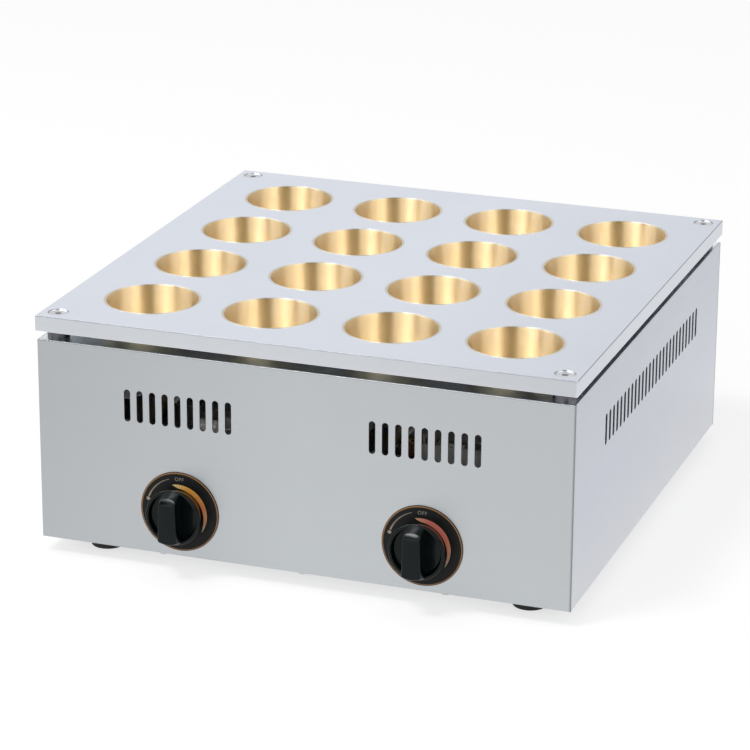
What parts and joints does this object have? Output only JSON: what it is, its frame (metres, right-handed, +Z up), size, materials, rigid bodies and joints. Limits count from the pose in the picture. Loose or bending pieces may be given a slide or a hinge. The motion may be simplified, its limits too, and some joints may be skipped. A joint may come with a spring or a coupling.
{
  "type": "imagawayaki maker",
  "caption": "Countertop gas cooker for filled round cakes: brass baking cups in a thick steel plate over a vented sheet-metal body with gas knobs and rubber feet.",
  "frame": {"origin": "on the table under the middle of the cooker, midway between the knobs' fronts and the tip of the gas inlet", "axes": "+Z up, the knobs face -Y, +X to the right as seen from the front"},
  "size_m": [0.45, 0.504, 0.203],
  "materials": {
    "heating_plate": "fine ground steel, satin",
    "cups": "polished brass",
    "screws": "bright steel",
    "plain_steel": "plain steel",
    "casing": "brushed stainless sheet",
    "posts": "plain folded steel",
    "feet": "matte rubber",
    "dials": "satin black with printed marks",
    "knobs": "glossy black plastic",
    "valve_brass": "machined brass",
    "manifold": "zinc-plated steel pipe",
    "burners": "plain stainless tube",
    "pilot_tubes": "drawn copper-coloured tube",
    "electrodes": "glazed white ceramic",
    "leads": "flexible sleeve"
  },
  "bodies": {
    "root": {"heating_plate": "heating_plate", "cup_r1_c1": "cups", "cup_r1_c2": "cups", "cup_r1_c3": "cups", "cup_r1_c4": "cups", "cup_r2_c1": "cups", "cup_r2_c2": "cups", "cup_r2_c3": "cups", "cup_r2_c4": "cups", "cup_r3_c1": "cups", "cup_r3_c2": "cups", "cup_r3_c3": "cups", "cup_r3_c4": "cups", "cup_r4_c1": "cups", "cup_r4_c2": "cups", "cup_r4_c3": "cups", "cup_r4_c4": "cups", "plate_screws": "screws", "casing_screws": "screws", "foot_screws": "screws", "plate_spacers": "plain_steel", "burner_rails": "plain_steel", "front_panel": "casing", "rear_panel": "casing", "left_side_panel": "casing", "right_side_panel": "casing", "base_panel": "casing", "corner_post_front_left": "posts", "corner_post_front_right": "posts", "corner_post_rear_left": "posts", "corner_post_rear_right": "posts", "foot_front_left": "feet", "foot_front_right": "feet", "foot_rear_left": "feet", "foot_rear_right": "feet", "dial_left": "dials", "dial_right": "dials", "valve_body_left": "valve_brass", "valve_body_right": "valve_brass", "injectors": "valve_brass", "gas_inlet": "valve_brass", "inlet_lock_nut": "valve_brass", "gas_manifold": "manifold", "burner_header_left": "burners", "burner_header_right": "burners", "burner_tubes": "burners", "pilot_burners": "burners", "pilot_tubes": "pilot_tubes", "ignition_electrodes": "electrodes", "ignition_leads": "leads"},
    "plug_left": {"valve_plug_left": "valve_brass", "valve_spring_left": "plain_steel"},
    "knob_left": {"knob_left": "knobs", "valve_stem_left": "plain_steel"},
    "shutter_left": {"air_shutter_left": "burners"},
    "plug_right": {"valve_plug_right": "valve_brass", "valve_spring_right": "plain_steel"},
    "knob_right": {"knob_right": "knobs", "valve_stem_right": "plain_steel"},
    "shutter_right": {"air_shutter_right": "burners"}
  },
  "joints": [
    {"name": "left_valve_turn", "type": "hinge", "parent": "root", "child": "plug_left", "pos_m": [-0.1025, -0.19, 0.05151], "axis": [0, -1, 0], "range_deg": [0, 180]},
    {"name": "left_knob_push", "type": "slide", "parent": "plug_left", "child": "knob_left", "axis": [0, 1, 0], "range_m": [0, 0.003], "stiffness_N_per_m": 900, "springref_m": -0.004, "deforming": ["valve_spring_left"]},
    {"name": "left_air_shutter_turn", "type": "hinge", "parent": "root", "child": "shutter_left", "pos_m": [-0.1025, -0.132, 0.05151], "axis": [0, 1, 0], "range_deg": [0, 45]},
    {"name": "right_valve_turn", "type": "hinge", "parent": "root", "child": "plug_right", "pos_m": [0.1025, -0.19, 0.05151], "axis": [0, -1, 0], "range_deg": [0, 180]},
    {"name": "right_knob_push", "type": "slide", "parent": "plug_right", "child": "knob_right", "axis": [0, 1, 0], "range_m": [0, 0.003], "stiffness_N_per_m": 900, "springref_m": -0.004, "deforming": ["valve_spring_right"]},
    {"name": "right_air_shutter_turn", "type": "hinge", "parent": "root", "child": "shutter_right", "pos_m": [0.1025, -0.132, 0.05151], "axis": [0, 1, 0], "range_deg": [0, 45]}
  ]
}
